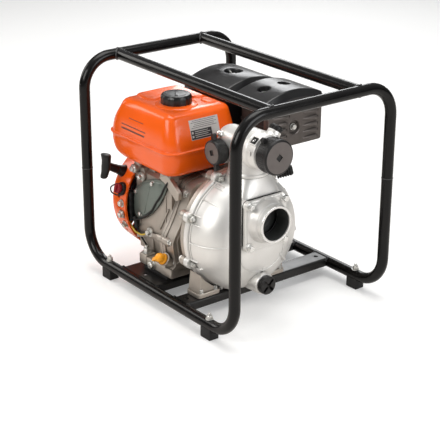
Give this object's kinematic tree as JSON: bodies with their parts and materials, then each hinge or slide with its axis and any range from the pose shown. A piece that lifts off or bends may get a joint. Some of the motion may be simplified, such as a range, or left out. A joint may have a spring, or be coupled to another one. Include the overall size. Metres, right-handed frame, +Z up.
{
  "type": "centrifugal water pump",
  "caption": "Engine-driven centrifugal water pump in a tubular roll frame, with a fuel tank, recoil starter, domed casing, suction port and capped outlets.",
  "frame": {"origin": "centre of the footprint on the floor", "axes": "+X from the recoil starter towards the suction port, -Y the side of the fuel tank and dipstick, +Y the side of the muffler and air cleaner, +Z up"},
  "size_m": [0.508, 0.392, 0.455],
  "materials": {
    "cast_engine": "sand-cast, lightly textured",
    "cast_iron": "as cast",
    "cast_aluminium": "bright shot-blasted casting, semi-satin",
    "frame_paint": "gloss black powder coat",
    "foot_rubber": "matt",
    "orange_paint": "gloss paint",
    "black_plastic": "satin moulded",
    "seal_rubber": "matt",
    "machined_steel": "zinc plated or machined",
    "side_plate_paint": "smooth grey-green",
    "exhaust_dark": "heat-resistant dark paint",
    "yellow_plastic": "moulded",
    "red_plastic": "moulded",
    "filter_foam": "open-cell foam"
  },
  "bodies": {
    "frame": {"air_cleaner_base": "black_plastic", "air_filter_element": "filter_foam", "carburettor": "cast_engine", "crankcase": "cast_engine", "crankcase_cover": "cast_engine", "crankcase_side_plate": "side_plate_paint", "cylinder_head": "cast_engine", "discharge_manifold": "cast_aluminium", "engine_cross_plate": "frame_paint", "fan_housing": "orange_paint", "foot_front_left": "foot_rubber", "foot_front_right": "foot_rubber", "foot_rear_left": "foot_rubber", "foot_rear_right": "foot_rubber", "frame_loop": "frame_paint", "fuel_tank": "orange_paint", "inner_volute": "cast_iron", "mechanical_seal": "seal_rubber", "muffler": "exhaust_dark", "muffler_shield": "exhaust_dark", "muffler_top_cover": "black_plastic", "oil_drain_bolt": "machined_steel", "pump_bracket": "cast_engine", "pump_casing": "cast_aluminium", "pump_cross_member": "frame_paint", "recoil_cover": "orange_paint", "rocker_cover": "cast_engine", "rubber_mount_front": "foot_rubber", "rubber_mount_rear": "foot_rubber", "spark_plug": "machined_steel", "suction_cover": "cast_aluminium", "suction_gasket": "seal_rubber", "switch_body": "black_plastic", "top_rail_front": "frame_paint", "top_rail_rear": "frame_paint"},
    "rotor": {"crankshaft": "machined_steel", "flywheel": "cast_iron", "impeller": "cast_iron"},
    "camshaft_body": {"camshaft": "machined_steel"},
    "piston_body": {"piston": "machined_steel"},
    "handle": {"pull_handle": "black_plastic"},
    "rope_pulley": {"recoil_pulley": "black_plastic"},
    "switch": {"switch_knob": "red_plastic"},
    "tank_cap": {"fuel_cap": "black_plastic"},
    "drain": {"drain_plug": "black_plastic"},
    "filler": {"filler_plug": "black_plastic"},
    "oil_dipstick": {"dipstick": "yellow_plastic"},
    "flap": {"flap_valve": "seal_rubber"},
    "air_cover": {"air_cleaner_cover": "black_plastic"},
    "air_nut": {"air_cleaner_wing_nut": "machined_steel"},
    "throttle": {"throttle_lever": "black_plastic"},
    "choke": {"choke_lever": "black_plastic"},
    "fuel_cock": {"fuel_cock_lever": "black_plastic"},
    "plug_boot": {"spark_plug_cap": "seal_rubber"},
    "cap_seal_main": {"gasket_outlet_cap_main": "seal_rubber"},
    "cap_main": {"outlet_cap_main": "black_plastic"},
    "cap_seal_front": {"gasket_outlet_cap_front": "seal_rubber"},
    "cap_front": {"outlet_cap_front": "black_plastic"},
    "cap_seal_rear": {"gasket_outlet_cap_rear": "seal_rubber"},
    "cap_rear": {"outlet_cap_rear": "black_plastic"}
  },
  "joints": [
    {"name": "crank_spin", "type": "hinge", "parent": "frame", "child": "rotor", "pos_m": [0, -0.044, 0.155], "axis": [1, 0, 0], "continuous": true},
    {"name": "cam_spin", "type": "hinge", "parent": "frame", "child": "camshaft_body", "pos_m": [0, -0.084, 0.109], "axis": [1, 0, 0], "continuous": true},
    {"name": "piston_slide", "type": "slide", "parent": "frame", "child": "piston_body", "axis": [0, 0.9063, 0.4226], "range_m": [-0.026, 0.026]},
    {"name": "handle_pull", "type": "slide", "parent": "frame", "child": "handle", "axis": [0, -0.8873, 0.4612], "range_m": [0, 0.4]},
    {"name": "recoil_spin", "type": "hinge", "parent": "frame", "child": "rope_pulley", "pos_m": [-0.215, -0.044, 0.155], "axis": [1, 0, 0], "range_deg": [0, 680]},
    {"name": "switch_turn", "type": "hinge", "parent": "frame", "child": "switch", "pos_m": [-0.165, -0.1535, 0.18848], "axis": [0, -0.9563, 0.2924], "range_deg": [0, 45]},
    {"name": "fuel_cap_turn", "type": "hinge", "parent": "frame", "child": "tank_cap", "pos_m": [-0.077, -0.08, 0.385], "axis": [0, 0, 1], "range_deg": [0, 90]},
    {"name": "outlet_cap_main_travel", "type": "slide", "parent": "frame", "child": "cap_seal_main", "axis": [1, 0, 0], "range_m": [0, 0.0116]},
    {"name": "outlet_cap_main_turn", "type": "hinge", "parent": "cap_seal_main", "child": "cap_main", "pos_m": [0.164, -0.044, 0.332], "axis": [1, 0, 0], "range_deg": [0, 1800]},
    {"name": "outlet_cap_front_travel", "type": "slide", "parent": "frame", "child": "cap_seal_front", "axis": [0, -1, 0], "range_m": [0, 0.0116]},
    {"name": "outlet_cap_front_turn", "type": "hinge", "parent": "cap_seal_front", "child": "cap_front", "pos_m": [0.058, -0.073, 0.315], "axis": [0, -1, 0], "range_deg": [0, 1800]},
    {"name": "outlet_cap_rear_travel", "type": "slide", "parent": "frame", "child": "cap_seal_rear", "axis": [0, 1, 0], "range_m": [0, 0.0116]},
    {"name": "outlet_cap_rear_turn", "type": "hinge", "parent": "cap_seal_rear", "child": "cap_rear", "pos_m": [0.058, -0.015, 0.315], "axis": [0, 1, 0], "range_deg": [0, 1800]},
    {"name": "drain_plug_turn", "type": "hinge", "parent": "frame", "child": "drain", "pos_m": [0.158, -0.044, 0.066], "axis": [1, 0, 0], "range_deg": [0, 720]},
    {"name": "filler_plug_turn", "type": "hinge", "parent": "frame", "child": "filler", "pos_m": [0.148, -0.01813, 0.36759], "axis": [0, 0.5879, 0.8089], "range_deg": [0, 720]},
    {"name": "dipstick_turn", "type": "hinge", "parent": "frame", "child": "oil_dipstick", "pos_m": [-0.006, -0.158, 0.088], "axis": [0, -0.8499, 0.5269], "range_deg": [0, 720]},
    {"name": "flap_swing", "type": "hinge", "parent": "frame", "child": "flap", "pos_m": [0.1435, -0.044, 0.235], "axis": [0, 1, 0], "range_deg": [0, 25]},
    {"name": "air_cover_lift", "type": "slide", "parent": "frame", "child": "air_cover", "axis": [0, 0, 1], "range_m": [0, 0.022]},
    {"name": "wing_nut_turn", "type": "hinge", "parent": "air_cover", "child": "air_nut", "pos_m": [-0.115, 0.091, 0.392], "axis": [0, 0, 1], "range_deg": [0, 1440]},
    {"name": "throttle_turn", "type": "hinge", "parent": "frame", "child": "throttle", "pos_m": [-0.128, 0.04, 0.262], "axis": [0, 0, 1], "range_deg": [-35, 4]},
    {"name": "choke_turn", "type": "hinge", "parent": "frame", "child": "choke", "pos_m": [-0.16, 0.15, 0.25], "axis": [0, 1, 0], "range_deg": [-60, 0]},
    {"name": "fuel_cock_turn", "type": "hinge", "parent": "frame", "child": "fuel_cock", "pos_m": [-0.152, 0.15, 0.233], "axis": [0, 1, 0], "range_deg": [-60, 0]},
    {"name": "plug_boot_pull", "type": "slide", "parent": "frame", "child": "plug_boot", "axis": [0.5223, 0.8236, 0.221], "range_m": [0, 0.03]}
  ],
  "couplings": [
    {"joint": "cam_spin", "follows": "crank_spin", "ratio": -0.5},
    {"joint": "recoil_spin", "follows": "handle_pull", "rad_per_m": 29.412},
    {"joint": "outlet_cap_main_travel", "follows": "outlet_cap_main_turn", "m_per_rad": 0.00036749},
    {"joint": "outlet_cap_front_travel", "follows": "outlet_cap_front_turn", "m_per_rad": 0.00036749},
    {"joint": "outlet_cap_rear_travel", "follows": "outlet_cap_rear_turn", "m_per_rad": 0.00036749}
  ]
}
